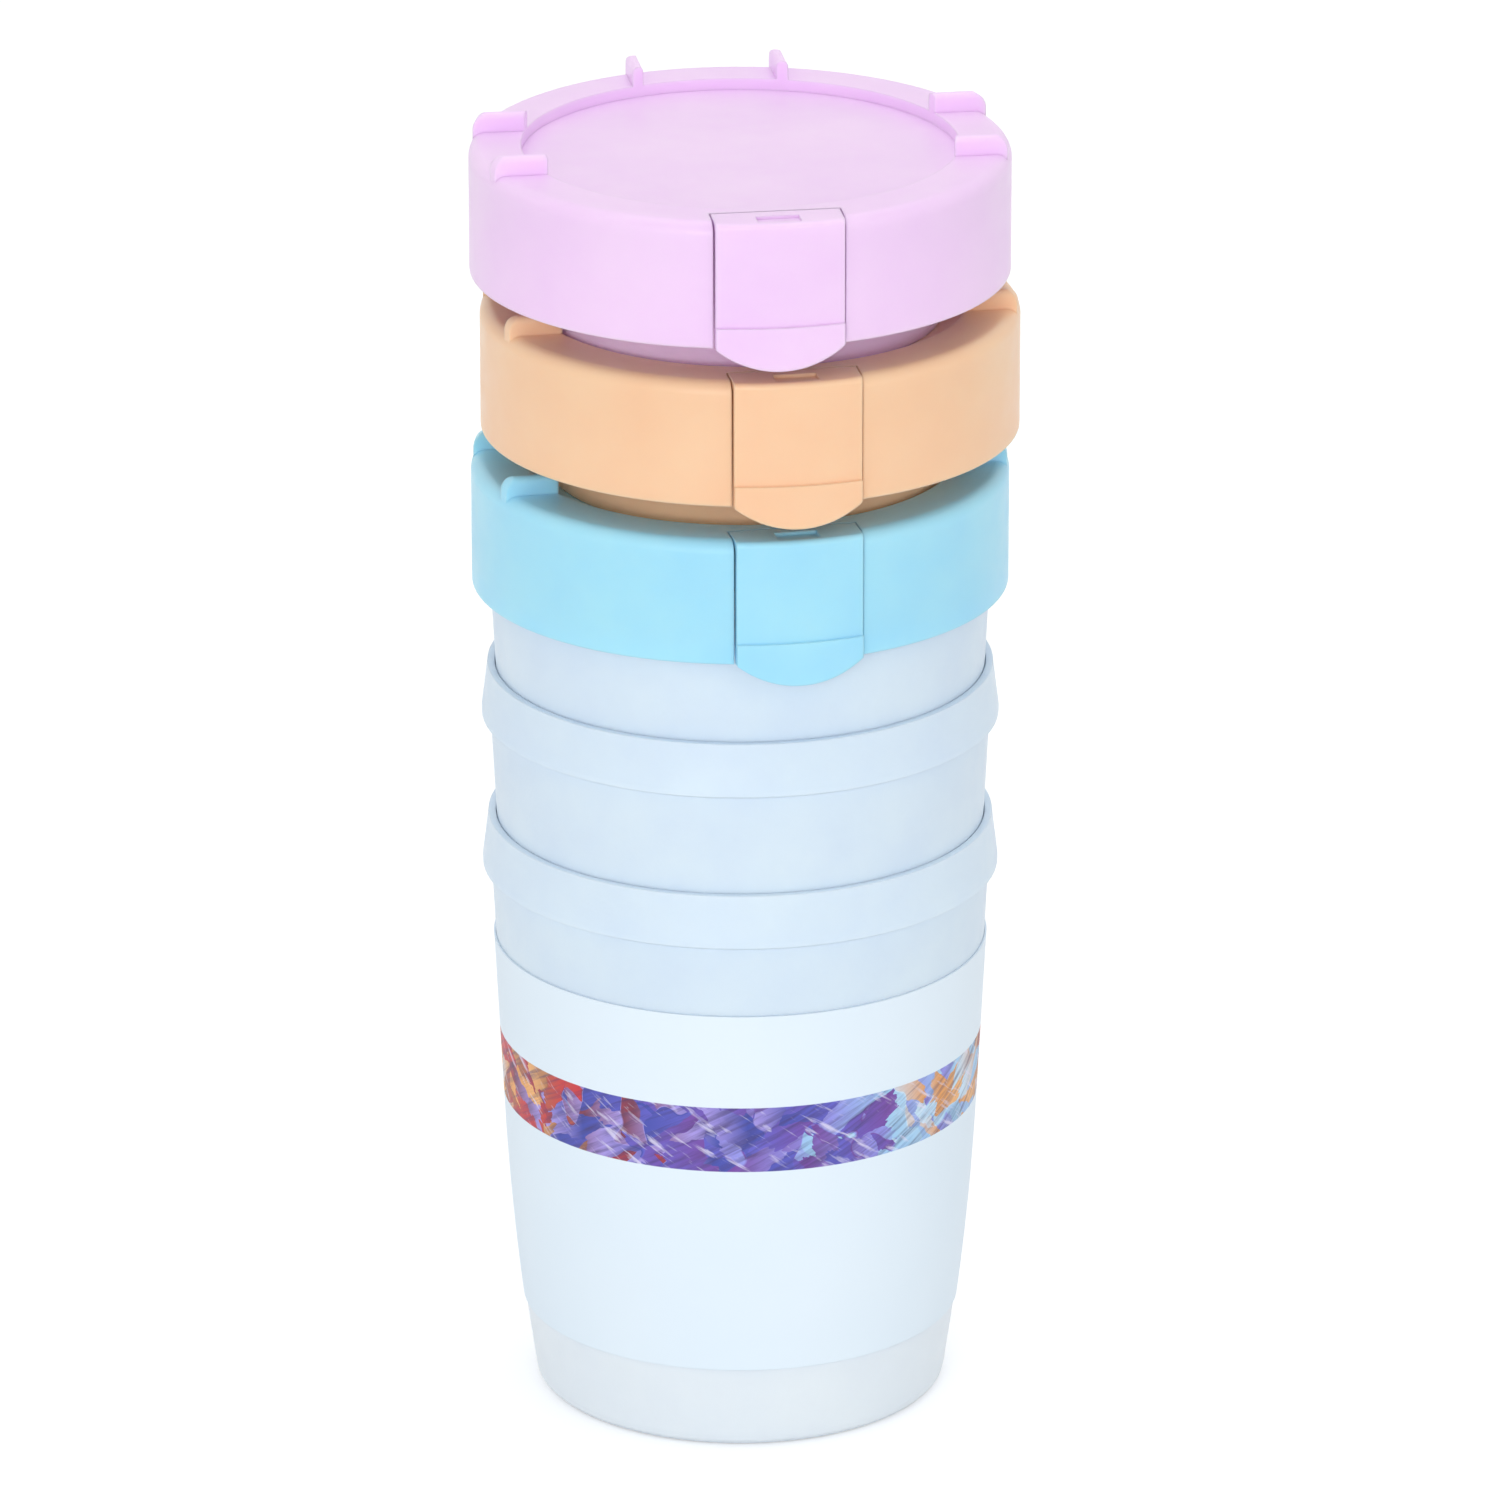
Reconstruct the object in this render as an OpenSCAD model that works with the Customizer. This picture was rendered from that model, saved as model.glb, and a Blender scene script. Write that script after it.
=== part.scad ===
// Brush washer set: three nested pots, a paper sleeve and three lids stacked on top.
// Millimetres, +Z up, origin at the middle of the lowest pot's base, front towards -Y.

/* [Pot] */
// Height of one pot from its base to its rim
pot_h = 92; // [80:0.5:110]
// Outer radius of the rim
rim_r = 38.1; // [34:0.1:42]
// Wall thickness of the pot
pot_wall = 1.1; // [0.8:0.05:1.5]
// Floor thickness of the pot
pot_floor = 1.6; // [1:0.1:3]
// Rise from one nested pot to the next
nest_pitch = 24; // [20:0.5:28]
// Sideways gap between nested pots
nest_gap = 0.12; // [0.06:0.01:0.3]
// Height below which the wall curves inwards
belly_z = 44; // [30:1:60]
// How far the curve draws the base in
belly_drop = 2.3; // [1:0.05:2.8]
// Radius of the corner between wall and base
base_corner = 2; // [0.8:0.1:3]

/* [Collar] */
// How far the bead stands out from the rim
bead_out = 0.9; // [0.5:0.05:1.4]
// Drop from the rim to the widest part of the bead
bead_drop = 7.2; // [5:0.1:9]
// Upright height of the bead's widest part
bead_band = 0.8; // [0.4:0.1:1.5]
// Height of the sloping ledge under the bead
bead_ledge = 0.6; // [0.3:0.1:1]

/* [Sleeve] */
// Height of the sleeve's lower edge above the base
sleeve_z = 13.5; // [8:0.5:20]
// Height of the sleeve
sleeve_h = 59; // [40:0.5:62]
// Thickness of the paper
paper = 0.3; // [0.2:0.05:0.5]
// Gap between the paper and the pot
paper_gap = 0.03; // [0.02:0.01:0.1]
// Width of the glued overlap at the back
overlap_w = 10; // [4:1:20]

/* [Lid] */
// Height of the lid's skirt, from its lower edge to the top ring
lid_h = 19; // [16:0.1:20]
// Thickness of the skirt
skirt_wall = 1.1; // [0.8:0.05:1.4]
// Thickness of the top ring and the recessed disc
plate = 1.3; // [1:0.05:1.6]
// Gap between the bead and the inside of the skirt
lid_gap = 0.2; // [0.15:0.05:0.4]
// Radius of the lid's outer top corner
lid_corner = 2; // [1.4:0.1:2.5]
// Width of the raised top ring
ring_w = 7.8; // [7:0.1:9]
// Depth of the recessed disc below the ring
recess_depth = 1.8; // [1.2:0.1:2.5]
// How far the skirt reaches down past the rim
lid_cover = 10.6; // [10:0.1:12.5]
// Width of the land that rests on the rim
seat_w = 1.5; // [1:0.1:2]
// Gap around the inner ring where it stands in the recess of the lid below
stack_gap = 2.4; // [1.8:0.1:3]
// Thickness of the inner ring
stack_wall = 1.2; // [0.8:0.1:1.6]
// How far the inner ring reaches below the skirt
stack_drop = 7.2; // [6.5:0.1:9]

/* [Locking tab] */
// Width of a tab
tab_w = 19; // [16:0.2:22]
// Slot on each side of a tab
tab_slot = 0.25; // [0.2:0.05:1]
// Thickness of the tab's upright wall
tab_wall = 1.35; // [1:0.05:1.6]
// How far the tab's face stands out from the skirt
tab_proud = 0.7; // [0.4:0.05:1.2]
// How far the grip at the tab's foot stands out from its face
grip_proud = 0.45; // [0.2:0.05:0.8]
// Height of the grip above the skirt's lower edge
grip_h = 3.3; // [2.5:0.1:5]
// How far the grip's arc hangs below the skirt
grip_hang = 3.3; // [1.5:0.1:4]
// Radius of the tab's outer top edge
tab_edge = 0.8; // [0.4:0.1:1.2]
// Gap around the rolled edge that the tab turns on
knuckle_gap = 0.1; // [0.06:0.02:0.2]
// Distance from the recess wall to the edge of the hinge groove
hinge_in = 0.05; // [0.05:0.05:0.3]
// Width of the window in the tab's top, and of the catch under it
window_w = 6.4; // [4:0.2:9]
// Depth of the window from front to back
window_d = 3; // [2:0.1:3.2]
// How far the window is sunk into the tab's top
window_sink = 0.5; // [0.3:0.1:0.8]
// Height of the catch that goes under the bead
catch_h = 1.8; // [1:0.1:2.2]
// Gap between the catch and the bead, above and beside it
catch_gap = 0.15; // [0.1:0.01:0.3]

/* [Brush rests] */
// Height of a brush rest above the ring
rest_h = 2.9; // [2:0.1:3.2]
// Thickness of a brush rest
rest_w = 1.7; // [1.4:0.1:3]
// Distance between the middles of the two rests of a pair
rest_span = 22; // [16:0.5:24]
// Distance from a brush rest's outer end to the lid's edge
rest_inset = 0.3; // [0.2:0.1:1]
// Radius of a brush rest's outer top corner
rest_corner = 2.5; // [1:0.1:2.7]
// Rise of the corner's round above the rounded top
rest_crown = 0.15; // [0.1:0.05:0.3]

/* [Stack] */
// Turn of the orange lid against the lilac one
orange_turn = 1.7; // [-3:0.1:3]
// Turn of the blue lid against the lilac one
blue_turn = 4.3; // [-5:0.1:5]
// Sideways shift of the orange lid on the lid below it
orange_shift = 1.5; // [-1.7:0.1:1.7]

/* [Hidden] */
LIDS = ["blue", "orange", "lilac"];
POTS = ["lower", "middle", "upper"];
$fn = 72;
// Overlap that keeps cuts clean
eps = 0.5;

// Pot, worked out
taper = (pot_wall + nest_gap) / nest_pitch;
bead_r = rim_r + bead_out;
bead_z = pot_h - bead_drop;
ledge_z = bead_z - bead_band - bead_ledge;
belly_steps = 6;
corner_steps = 3;

// Lid, worked out
lid_r = bead_r + lid_gap + skirt_wall;
skirt_in = lid_r - skirt_wall;
recess_r = lid_r - ring_w;
seat_r = rim_r + (seat_w - pot_wall) / 2;
stack_r = recess_r - stack_gap;
floor_top = lid_h - recess_depth;
stack_pitch = floor_top + stack_drop;

// Tab, worked out
knuckle_r = plate / 2;
hinge_r = recess_r + plate + hinge_in + knuckle_gap + knuckle_r;
hinge_z = lid_h - knuckle_r;
tab_face = lid_r + tab_proud;
tab_in = tab_face - tab_wall;
tab_half = tab_w / 2;
slot_half = tab_half + tab_slot;
grip_r = (tab_half * tab_half + grip_hang * grip_hang) / (2 * grip_hang);
catch_r = bead_r + catch_gap;
catch_top = lid_cover - (pot_h - ledge_z) - catch_gap;

// Places of the three lids: height of the skirt's edge, sideways shift and turn
lid_z0 = 2 * nest_pitch + pot_h - lid_cover;
LID_Z = [for (i = [0:2]) lid_z0 + i * stack_pitch];
LID_X = [0, orange_shift, 0];
LID_TURN = [blue_turn, orange_turn, 0];
LID_COLOURS = ["#a9e2fa", "#fbcdab", "#e3cbf7"];
// Turns of the three pairs of brush rests, and of the locking tab
REST_TURNS = [0, 90, 180];
TAB_TURN = 270;

// Outer radius of the plain wall at height z
function wall_r(z) = rim_r - taper * (pot_h - z)
    - belly_drop * pow(max(0, belly_z - z) / belly_z, 2);

// Heights from lo to hi, close together in the curved part
function wall_steps(lo, hi) = concat(
    [for (i = [0:belly_steps - 1]) lo + (belly_z - lo) * i / belly_steps],
    hi > belly_z ? [belly_z, hi] : [hi]
);

// Points along the wall from lo to hi, moved outwards by out
function wall_line(lo, hi, out) = [for (z = wall_steps(lo, hi)) [wall_r(z) + out, z]];

// Points with the order turned round
function reversed(points) = [for (i = [len(points) - 1:-1:0]) points[i]];

module pot_shape() {
    outer = concat(
        [for (i = [0:corner_steps])
            let (a = -90 + 90 * i / corner_steps)
            [wall_r(base_corner) - base_corner + base_corner * cos(a), base_corner + base_corner * sin(a)]],
        [for (p = wall_line(base_corner, ledge_z, 0)) if (p[1] > base_corner) p]
    );
    bead = [[bead_r, ledge_z + bead_ledge], [bead_r, bead_z], [rim_r, pot_h]];
    inner = reversed(wall_line(pot_floor, pot_h, -pot_wall));
    rotate_extrude() polygon(concat([[0, 0]], outer, bead, inner, [[0, pot_floor]]));
}

module pot(level) {
    color("#dde8f2") translate([0, 0, level * nest_pitch]) pot_shape();
}

module sleeve_band(out, thick) {
    inner = wall_line(sleeve_z, sleeve_z + sleeve_h, out);
    outer = wall_line(sleeve_z, sleeve_z + sleeve_h, out + thick);
    polygon(concat(inner, reversed(outer)));
}

module paper_sleeve() {
    color("#f4f5f8") {
        rotate_extrude() sleeve_band(paper_gap, paper);
        // Glued overlap
        intersection() {
            rotate_extrude() sleeve_band(paper_gap, paper * 2);
            translate([-overlap_w / 2, 0, sleeve_z - eps])
                cube([overlap_w, rim_r + bead_out, sleeve_h + 2 * eps]);
        }
    }
}

// Half section of the lid before the tab's room is cut
module lid_section() {
    difference() {
        union() {
            square([lid_r, lid_h - lid_corner]);
            square([lid_r - lid_corner, lid_h]);
            translate([lid_r - lid_corner, lid_h - lid_corner]) circle(lid_corner);
        }
        translate([-eps, -eps]) square([skirt_in + eps, floor_top - plate + eps]);
        translate([recess_r + plate, 0]) square([skirt_in - recess_r - plate, lid_h - plate]);
        translate([-eps, floor_top]) square([recess_r + eps, recess_depth + eps]);
    }
    // Land that sits on the rim
    translate([seat_r - seat_w, lid_cover]) square([seat_w, lid_h - plate / 2 - lid_cover]);
    // Inner ring that stands in the recess of the lid below
    translate([stack_r - stack_wall, -stack_drop])
        square([stack_wall, floor_top - plate / 2 + stack_drop]);
}

// Room that the tab and its rolled edge take out of the lid, on the +X side
module tab_cut() {
    translate([hinge_r, -slot_half, -eps]) cube([lid_r, 2 * slot_half, lid_h + 2 * eps]);
    translate([hinge_r, 0, hinge_z]) rotate([90, 0, 0])
        cylinder(r = knuckle_r + knuckle_gap, h = 2 * slot_half, center = true);
}

// Outline of a brush rest across its length, rounded at the top
module rest_outline() {
    translate([-rest_w / 2, lid_h - lid_corner]) square([rest_w, rest_h + lid_corner - rest_w / 2]);
    translate([0, lid_h + rest_h - rest_w / 2]) circle(rest_w / 2);
}

// Outline of a brush rest along its length, as half a section of a ring
module rest_profile() {
    top = lid_h + rest_h + rest_crown;
    end_r = lid_r - rest_inset;
    difference() {
        translate([0, lid_h - plate]) union() {
            square([end_r, top - rest_corner - lid_h + plate]);
            square([end_r - rest_corner, top - lid_h + plate]);
            translate([end_r - rest_corner, top - rest_corner - lid_h + plate]) circle(rest_corner);
        }
        translate([-eps, lid_h - plate - eps]) square([recess_r + eps, top - lid_h + plate + 2 * eps]);
    }
}

// Pair of brush rests on the +X side
module rests() {
    intersection() {
        rotate_extrude() rest_profile();
        for (side = [-1, 1])
            translate([0, side * rest_span / 2, 0])
                rotate([90, 0, 90]) linear_extrude(lid_r) rest_outline();
    }
}

module lid_shape() {
    difference() {
        union() {
            rotate_extrude() lid_section();
            for (turn = REST_TURNS) rotate([0, 0, turn]) rests();
        }
        rotate([0, 0, TAB_TURN]) tab_cut();
    }
}

// What the arc under the grip takes away from a straight-ended tab
module grip_arc() {
    difference() {
        translate([hinge_r, -slot_half, -grip_hang - eps])
            cube([tab_face, 2 * slot_half, grip_hang + 2 * eps]);
        translate([hinge_r, 0, grip_r - grip_hang]) rotate([0, 90, 0])
            cylinder(r = grip_r, h = tab_face);
    }
}

// Half section of the tab's plate, upright wall and grip
module tab_section() {
    translate([hinge_r - eps, lid_h - plate]) square([tab_face - tab_edge - hinge_r + eps, plate]);
    translate([tab_in, -grip_hang - eps]) square([tab_wall, lid_h - tab_edge + grip_hang + eps]);
    translate([tab_face - tab_edge, lid_h - tab_edge]) circle(tab_edge);
    translate([tab_in, -grip_hang - eps]) square([tab_wall + grip_proud, grip_h + grip_hang + eps]);
}

module tab_shape() {
    difference() {
        union() {
            intersection() {
                rotate_extrude() tab_section();
                translate([hinge_r, -tab_half, -grip_hang]) cube([tab_face, tab_w, lid_h + grip_hang + eps]);
            }
            translate([hinge_r, -tab_half, lid_h - plate]) cube([plate, tab_w, plate]);
            translate([hinge_r, 0, hinge_z]) rotate([90, 0, 0])
                cylinder(r = knuckle_r, h = tab_w, center = true);
            // Catch under the bead
            intersection() {
                rotate_extrude() translate([catch_r, catch_top - catch_h])
                    square([tab_in - catch_r + eps, catch_h]);
                translate([hinge_r, -window_w / 2, catch_top - catch_h])
                    cube([tab_face - hinge_r, window_w, catch_h]);
            }
        }
        grip_arc();
        // Shallow window above the catch
        translate([tab_in - catch_gap - window_d, -window_w / 2, lid_h - window_sink])
            cube([window_d, window_w, window_sink + eps]);
    }
}

module place_lid(i) {
    translate([LID_X[i], 0, LID_Z[i]]) rotate([0, 0, LID_TURN[i]]) children();
}

module lid(i) {
    color(LID_COLOURS[i]) place_lid(i) lid_shape();
}

module tab(i) {
    color(LID_COLOURS[i]) place_lid(i) rotate([0, 0, TAB_TURN]) tab_shape();
}

for (level = [0:2])
    pot(level);
paper_sleeve();
for (i = [0:2]) {
    lid(i);
    tab(i);
}
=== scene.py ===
import math

import bmesh
import bpy
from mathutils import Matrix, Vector

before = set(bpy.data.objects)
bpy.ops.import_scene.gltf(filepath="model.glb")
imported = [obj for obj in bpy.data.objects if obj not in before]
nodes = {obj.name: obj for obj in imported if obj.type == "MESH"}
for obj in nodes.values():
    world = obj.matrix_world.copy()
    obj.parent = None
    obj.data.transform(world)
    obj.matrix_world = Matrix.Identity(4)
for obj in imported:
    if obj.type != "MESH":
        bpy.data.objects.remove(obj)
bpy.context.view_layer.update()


# Camera
# A long lens looks down on the stack from 1.6 m away, a little to the left of its front.
# The stack stands just left of the middle of the picture.
camera_turn = math.radians(8.5)
camera_tilt = math.radians(20.25)
camera_distance = 1.6
camera_aside = 0.0011
camera_height = 0.6918
photo_lens = bpy.data.cameras.new("photo_camera")
photo_lens.lens = 271.7
photo_lens.sensor_width = 36
photo_lens.clip_start = 0.05
photo_lens.clip_end = 30
photo_camera = bpy.data.objects.new("photo_camera", photo_lens)
bpy.context.scene.collection.objects.link(photo_camera)
photo_camera.location = (
    Vector((-math.sin(camera_turn), -math.cos(camera_turn), 0)) * camera_distance
    + Vector((math.cos(camera_turn), -math.sin(camera_turn), 0)) * camera_aside
    + Vector((0, 0, camera_height))
)
photo_camera.rotation_euler = (math.pi / 2 - camera_tilt, 0, -camera_turn)
bpy.context.scene.camera = photo_camera


# Studio
# A pale table under a white sky, with three large soft lamps. The sky and the table count as
# plain white to the camera and in reflections, and the table keeps the stack's soft shadow.
bpy.context.scene.view_settings.view_transform = "Standard"
sky_on_stack = 0.7
table_glow = 0.3
lamp_target = Vector((0, 0, 0.12))


def shader_node(tree, kind, **sockets):
    """Adds a node to a material and sets its named sockets."""
    node = tree.nodes.new(kind)
    for name, value in sockets.items():
        node.inputs[name.replace("_", " ")].default_value = value
    return node


def math_node(tree, operation, first, second=None):
    """One step of arithmetic on links or plain numbers."""
    node = shader_node(tree, "ShaderNodeMath")
    node.operation = operation
    for socket, value in zip(node.inputs, (first, second)):
        if isinstance(value, (int, float)):
            socket.default_value = value
        elif value is not None:
            tree.links.new(value, socket)
    return node.outputs[0]


def ranged(tree, value, start, finish, low=0, high=1):
    """A number that goes from low to high while value goes from start to finish."""
    scale = shader_node(
        tree, "ShaderNodeMapRange", From_Min=start, From_Max=finish, To_Min=low, To_Max=high
    )
    tree.links.new(value, scale.inputs["Value"])
    return scale.outputs["Result"]


def seen_directly(tree):
    """1 for what the camera sees, also in a reflection or through clear plastic, and else 0."""
    path = shader_node(tree, "ShaderNodeLightPath")
    seen = path.outputs["Is Camera Ray"]
    for ray in ("Is Glossy Ray", "Is Transmission Ray"):
        seen = math_node(tree, "MAXIMUM", seen, path.outputs[ray])
    return seen


sky = bpy.data.worlds.new("white_sky")
bpy.context.scene.world = sky
sky.use_nodes = True
sky_tree = sky.node_tree
sky_light = sky_tree.nodes["Background"]
sky_light.inputs["Color"].default_value = (1, 1, 1, 1)
sky_strength = ranged(sky_tree, seen_directly(sky_tree), 0, 1, sky_on_stack, 1)
sky_tree.links.new(sky_strength, sky_light.inputs["Strength"])

table_top = bmesh.new()
bmesh.ops.create_grid(table_top, x_segments=1, y_segments=1, size=3)
table_mesh = bpy.data.meshes.new("table")
table_top.to_mesh(table_mesh)
table_top.free()
table = bpy.data.objects.new("table", table_mesh)
bpy.context.scene.collection.objects.link(table)
table_finish = bpy.data.materials.new("table_white")
table_finish.use_nodes = True
table_tree = table_finish.node_tree
table_paint = table_tree.nodes["Principled BSDF"]
table_paint.inputs["Base Color"].default_value = (0.86, 0.87, 0.88, 1)
table_paint.inputs["Roughness"].default_value = 0.9
table_paint.inputs["Specular IOR Level"].default_value = 0.1
table_paint.inputs["Emission Color"].default_value = (1, 1, 1, 1)
table_shine = math_node(table_tree, "MULTIPLY", seen_directly(table_tree), table_glow)
table_tree.links.new(table_shine, table_paint.inputs["Emission Strength"])
table_mesh.materials.append(table_finish)

for lamp_name, place, side, watts in (
    ("lamp_front_left", (-0.6, -1.6, 0.5), 0.9, 8.5),
    ("lamp_front_right", (1.2, -1.0, 0.5), 0.9, 1.5),
    ("lamp_top", (0.1, 0.3, 1.6), 1.1, 5),
):
    lamp = bpy.data.lights.new(lamp_name, "AREA")
    lamp.size = side
    lamp.energy = watts
    lamp_object = bpy.data.objects.new(lamp_name, lamp)
    bpy.context.scene.collection.objects.link(lamp_object)
    lamp_object.location = place
    aim = lamp_target - Vector(place)
    lamp_object.rotation_euler = aim.to_track_quat("-Z", "Y").to_euler()


# Pots
# Three thin-walled cup shapes moulded in unpigmented polypropylene, nested in each other. The
# plastic is milky and cold white. The foot is painted whiter as painted light: only one wall
# stands there, and the light behind it shows through.
# Heights over which the painted light at the foot fades into the plain wall colour
painted_backlight_low, painted_backlight_high = 0.012, 0.03
skin_depth = 0.0012
pot_corner = 0.0003


def finish_of(name):
    """Starts a material and returns it with its tree and its shader."""
    material = bpy.data.materials.new(name)
    material.use_nodes = True
    tree = material.node_tree
    return material, tree, tree.nodes["Principled BSDF"]


def cloud(tree, size, detail):
    """Soft noise in the object's own metres, with patches about as wide as size."""
    place = shader_node(tree, "ShaderNodeTexCoord")
    noise = shader_node(tree, "ShaderNodeTexNoise", Scale=1 / size, Detail=detail)
    tree.links.new(place.outputs["Object"], noise.inputs["Vector"])
    return noise.outputs["Fac"]


def between(tree, noise, low, high):
    """Spreads noise, most of which lies from 0.3 to 0.7, over low to high."""
    return ranged(tree, noise, 0.3, 0.7, low, high)


def mixed(tree, share, first, second):
    """Blends two colours, each a link or a plain colour, by share."""
    mix = shader_node(tree, "ShaderNodeMix")
    mix.data_type = "RGBA"
    for socket, value in zip((mix.inputs[6], mix.inputs[7]), (first, second)):
        if isinstance(value, tuple):
            socket.default_value = (*value, 1)
        else:
            tree.links.new(value, socket)
    tree.links.new(share, mix.inputs[0])
    return mix.outputs[2]


def height_in(tree):
    """The height above the table, in metres."""
    place = shader_node(tree, "ShaderNodeTexCoord")
    parts = shader_node(tree, "ShaderNodeSeparateXYZ")
    tree.links.new(place.outputs["Object"], parts.inputs["Vector"])
    return parts.outputs["Z"]


def soft_edges(tree, shader, height, depth, radius):
    """Gives sharp moulded edges a small round in the shading, and lays a fine grain over them."""
    edge = shader_node(tree, "ShaderNodeBevel", Radius=radius)
    edge.samples = 4
    grain = shader_node(tree, "ShaderNodeBump", Strength=depth, Distance=0.0001)
    tree.links.new(height, grain.inputs["Height"])
    tree.links.new(edge.outputs["Normal"], grain.inputs["Normal"])
    tree.links.new(grain.outputs["Normal"], shader.inputs["Normal"])


def polypropylene(shader, scatter):
    """Bends light as the plastic does, and scatters a share of it just under the skin."""
    shader.inputs["IOR"].default_value = 1.49
    shader.inputs["Subsurface Weight"].default_value = scatter
    shader.inputs["Subsurface Radius"].default_value = (1, 1, 1)
    shader.inputs["Subsurface Scale"].default_value = skin_depth


def dress(name, material):
    """Makes material the only one on a CAD node."""
    nodes[name].data.materials.clear()
    nodes[name].data.materials.append(material)


milky, milky_tree, milky_shader = finish_of("pot_milky_plastic")
milky_patches = between(milky_tree, cloud(milky_tree, 0.011, 4), 0, 1)
milky_wall = mixed(milky_tree, milky_patches, (0.67, 0.79, 0.93), (0.71, 0.83, 0.95))
# Painted light: the paler foot colour stands for the light behind the single wall showing through
# it
milky_painted_backlight = mixed(milky_tree, milky_patches, (0.79, 0.86, 0.94), (0.82, 0.89, 0.96))
above_painted_backlight = ranged(milky_tree, height_in(milky_tree), painted_backlight_low, painted_backlight_high)
milky_colour = mixed(milky_tree, above_painted_backlight, milky_painted_backlight, milky_wall)
milky_tree.links.new(milky_colour, milky_shader.inputs["Base Color"])
milky_sheen = between(milky_tree, cloud(milky_tree, 0.0025, 2), 0.36, 0.5)
milky_tree.links.new(milky_sheen, milky_shader.inputs["Roughness"])
polypropylene(milky_shader, 0.5)
soft_edges(milky_tree, milky_shader, cloud(milky_tree, 0.0006, 2), 0.25, pot_corner)
for pot in ("pot_lower", "pot_middle", "pot_upper"):
    dress(pot, milky)


# Sleeve
# A band of coated white paper round the lowest pot, glued where its ends overlap at the back.
# A strip of loose brushwork is printed round it below its middle, and the rest is plain stock.
paper_radius = 0.035
paper_seam_turn = math.radians(8)
band_low, band_high = 0.047, 0.0576
band_edge = 0.0001
band_start = 0.92
band_turns = 2
daub_spread = 0.36
paper_corner = 0.0001


def unrolled(tree):
    """Metres along the paper, with the break at the edge of its overlap, and metres up."""
    place = shader_node(tree, "ShaderNodeTexCoord")
    turned = shader_node(tree, "ShaderNodeMapping", Rotation=(0, 0, paper_seam_turn))
    tree.links.new(place.outputs["Object"], turned.inputs["Vector"])
    parts = shader_node(tree, "ShaderNodeSeparateXYZ")
    tree.links.new(turned.outputs["Vector"], parts.inputs["Vector"])
    towards_front = math_node(tree, "MULTIPLY", parts.outputs["Y"], -1)
    angle = math_node(tree, "ARCTAN2", parts.outputs["X"], towards_front)
    return math_node(tree, "MULTIPLY", angle, paper_radius), parts.outputs["Z"]


def brushed(tree, flat, slant, length, width, wander):
    """Places on the flat paper, drawn out along slant as a brush drags paint, and shaken."""
    turned = shader_node(
        tree, "ShaderNodeMapping", Rotation=(0, 0, slant), Scale=(length, width, 1)
    )
    turned.vector_type = "TEXTURE"
    tree.links.new(flat, turned.inputs["Vector"])
    drift = shader_node(tree, "ShaderNodeTexNoise", Scale=1.3, Detail=3)
    tree.links.new(turned.outputs["Vector"], drift.inputs["Vector"])
    push = shader_node(tree, "ShaderNodeVectorMath")
    push.operation = "MULTIPLY_ADD"
    tree.links.new(drift.outputs["Color"], push.inputs[0])
    push.inputs[1].default_value = (wander, wander, 0)
    tree.links.new(turned.outputs["Vector"], push.inputs[2])
    return push.outputs["Vector"]


def strokes(tree, place, seed):
    """Fine streaks that the hairs of the brush leave."""
    noise = shader_node(tree, "ShaderNodeTexNoise", Scale=1, Detail=5, Distortion=0.4)
    noise.noise_dimensions = "4D"
    noise.inputs["W"].default_value = seed
    tree.links.new(place, noise.inputs["Vector"])
    return noise.outputs["Fac"]


def daubs(tree, place):
    """One chance number for each daub of paint."""
    cells = shader_node(tree, "ShaderNodeTexVoronoi", Scale=1)
    cells.voronoi_dimensions = "2D"
    tree.links.new(place, cells.inputs["Vector"])
    parts = shader_node(tree, "ShaderNodeSeparateColor")
    tree.links.new(cells.outputs["Color"], parts.inputs["Color"])
    return parts.outputs["Red"]


def colour_steps(tree, share, steps):
    """A ramp through the (place, colour) steps."""
    ramp = shader_node(tree, "ShaderNodeValToRGB")
    points = ramp.color_ramp.elements
    while len(points) < len(steps):
        points.new(0.5)
    for point, (place, colour) in zip(points, steps):
        point.position = place
        point.color = (*colour, 1)
    tree.links.new(share, ramp.inputs["Fac"])
    return ramp.outputs["Color"]


paper, paper_tree, paper_shader = finish_of("sleeve_printed_paper")
along, up = unrolled(paper_tree)
flat_place = shader_node(paper_tree, "ShaderNodeCombineXYZ")
paper_tree.links.new(along, flat_place.inputs["X"])
paper_tree.links.new(up, flat_place.inputs["Y"])
flat = flat_place.outputs["Vector"]
paper_patches = between(paper_tree, cloud(paper_tree, 0.03, 2), 0, 1)
paper_stock = mixed(paper_tree, paper_patches, (0.77, 0.88, 0.97), (0.80, 0.90, 0.98))

# Paint goes on in wide daubs in two directions, with a hue that drifts round the pot, and then
# the hairs of the brush streak it
rising_daubs = daubs(
    paper_tree, brushed(paper_tree, flat, slant=0.5, length=0.008, width=0.0032, wander=1.2)
)
falling_daubs = daubs(
    paper_tree, brushed(paper_tree, flat, slant=-0.7, length=0.0055, width=0.0024, wander=1.4)
)
which_daubs = ranged(paper_tree, cloud(paper_tree, 0.008, 1), 0.49, 0.51)
daub_chance = mixed(paper_tree, which_daubs, rising_daubs, falling_daubs)
hue_drift = math_node(paper_tree, "MULTIPLY", along, band_turns / (2 * math.pi * paper_radius))
hue_share = math_node(
    paper_tree, "ADD", math_node(paper_tree, "ADD", hue_drift, band_start),
    math_node(paper_tree, "MULTIPLY", daub_chance, daub_spread),
)
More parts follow.
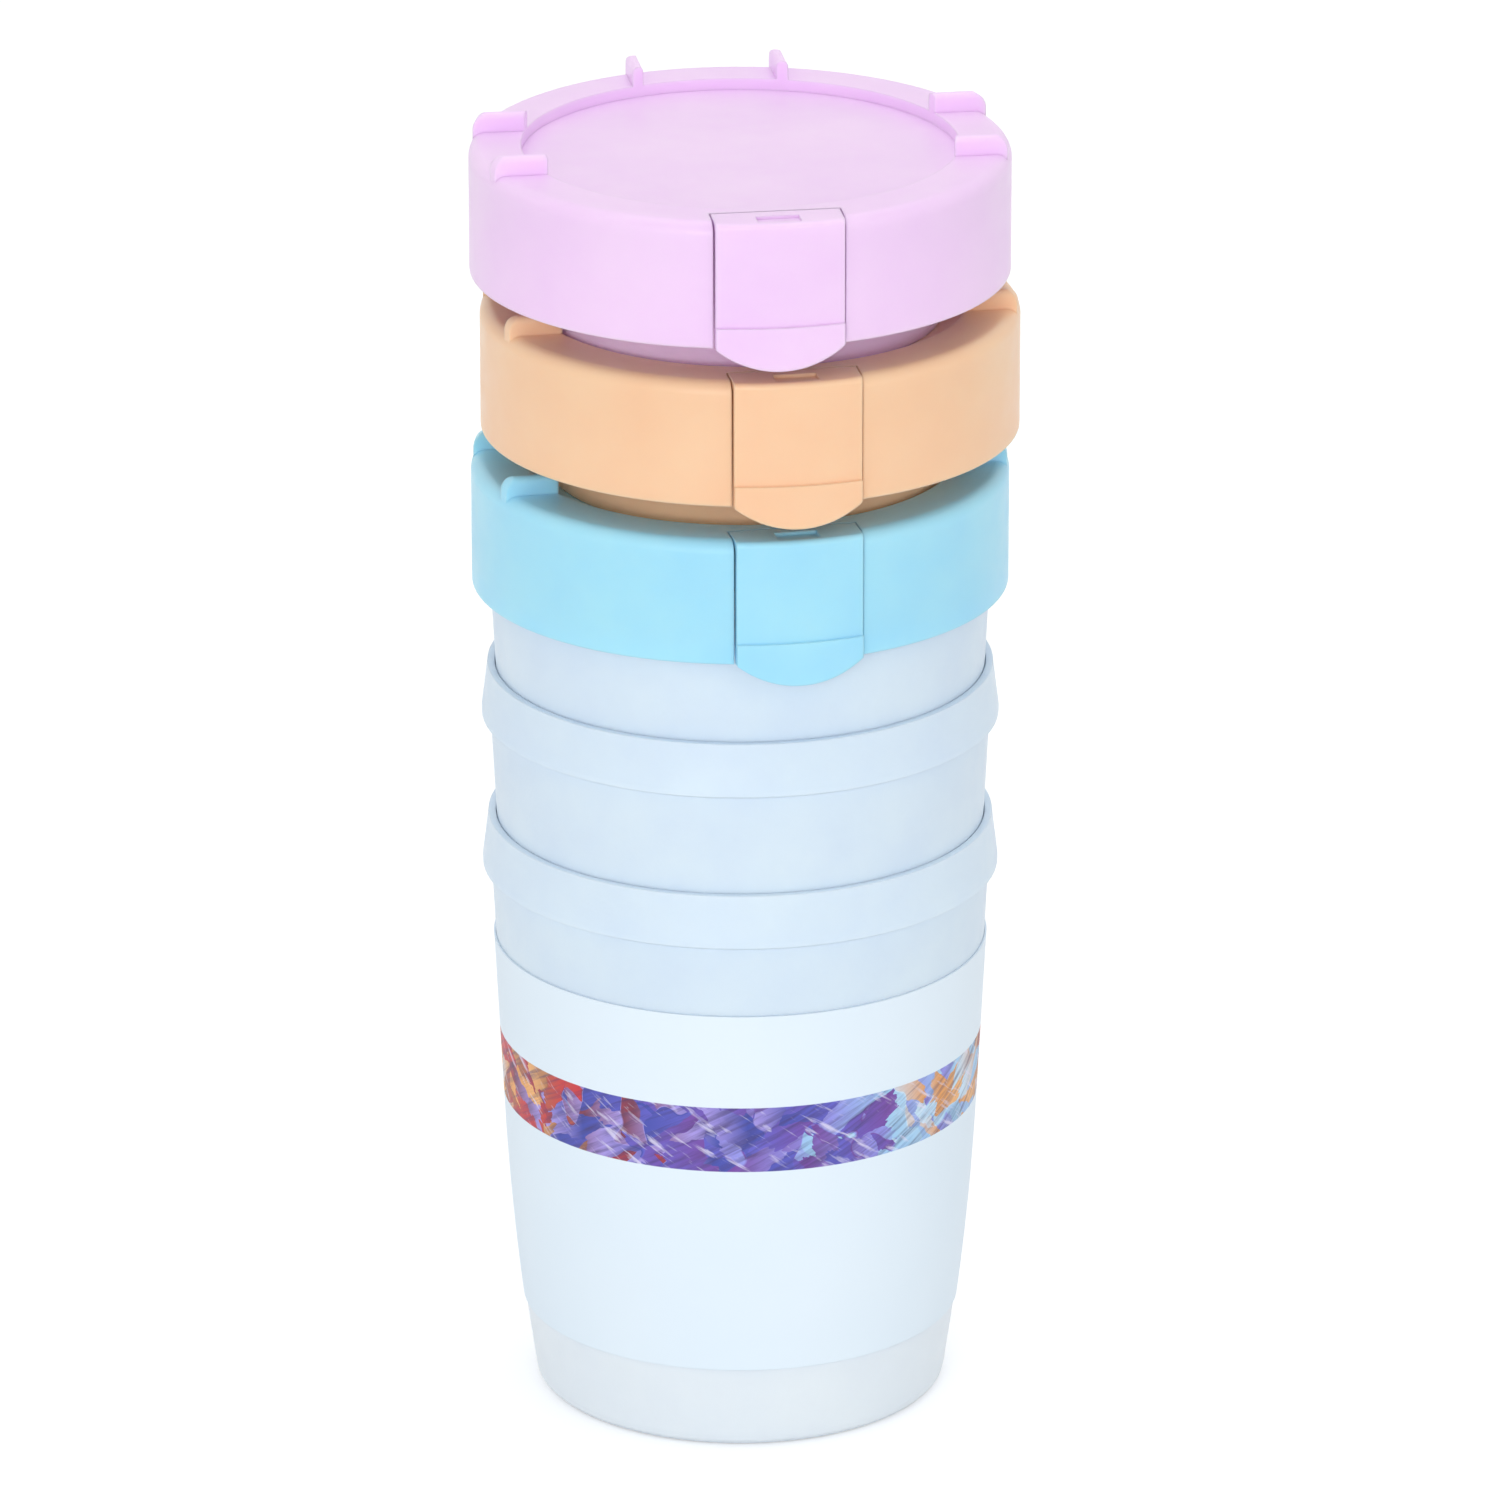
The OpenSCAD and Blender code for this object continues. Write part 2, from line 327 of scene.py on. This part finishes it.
hues = colour_steps(paper_tree, math_node(paper_tree, "FRACT", hue_share), (
    (0.00, (0.05, 0.07, 0.40)),
    (0.09, (0.13, 0.12, 0.58)),
    (0.18, (0.18, 0.06, 0.36)),
    (0.27, (0.30, 0.30, 0.80)),
    (0.36, (0.36, 0.62, 0.88)),
    (0.45, (0.62, 0.80, 0.95)),
    (0.53, (0.78, 0.34, 0.09)),
    (0.61, (0.92, 0.50, 0.20)),
    (0.70, (0.40, 0.15, 0.07)),
    (0.79, (0.62, 0.04, 0.05)),
    (0.88, (0.20, 0.04, 0.08)),
    (0.94, (0.40, 0.32, 0.78)),
    (1.00, (0.05, 0.07, 0.40)),
))
dark_place = brushed(paper_tree, flat, slant=0.5, length=0.008, width=0.0007, wander=0.6)
pale_place = brushed(paper_tree, flat, slant=-0.6, length=0.005, width=0.0008, wander=0.8)
dark_streaks = between(paper_tree, strokes(paper_tree, dark_place, seed=7.7), -0.4, 0.7)
pale_streaks = between(paper_tree, strokes(paper_tree, pale_place, seed=12.4), -1.5, 0.7)
painted = mixed(paper_tree, dark_streaks, hues, (0.05, 0.03, 0.12))
painted = mixed(paper_tree, pale_streaks, painted, (0.80, 0.76, 0.95))
in_band = math_node(
    paper_tree, "MULTIPLY",
    ranged(paper_tree, up, band_low, band_low + band_edge),
    ranged(paper_tree, up, band_high, band_high - band_edge),
)
printed = mixed(paper_tree, in_band, paper_stock, painted)
paper_tree.links.new(printed, paper_shader.inputs["Base Color"])
paper_shader.inputs["Roughness"].default_value = 0.5
soft_edges(paper_tree, paper_shader, cloud(paper_tree, 0.0009, 3), 0.15, paper_corner)
dress("paper_sleeve", paper)


# Lids and locking tabs
# Each lid is one moulding in coloured polypropylene with a satin skin, and the locking tab that
# bends at its top ring is part of it. Light scatters just under the skin, so the colours are soft.
lid_corner = 0.0004
lid_colours = {
    "blue": ((0.35, 0.73, 1.0), (0.42, 0.80, 1.0)),
    "orange": ((0.97, 0.58, 0.36), (1.0, 0.64, 0.41)),
    "lilac": ((0.88, 0.63, 0.96), (0.92, 0.68, 0.99)),
}
for colour, (deep, light) in lid_colours.items():
    satin, satin_tree, satin_shader = finish_of(f"lid_{colour}_satin")
    satin_patches = between(satin_tree, cloud(satin_tree, 0.018, 3), 0, 1)
    satin_colour = mixed(satin_tree, satin_patches, deep, light)
    satin_tree.links.new(satin_colour, satin_shader.inputs["Base Color"])
    satin_sheen = between(satin_tree, cloud(satin_tree, 0.004, 2), 0.3, 0.42)
    satin_tree.links.new(satin_sheen, satin_shader.inputs["Roughness"])
    polypropylene(satin_shader, 0.6)
    soft_edges(satin_tree, satin_shader, cloud(satin_tree, 0.0005, 2), 0.12, lid_corner)
    dress(f"lid_{colour}", satin)
    dress(f"tab_{colour}", satin)
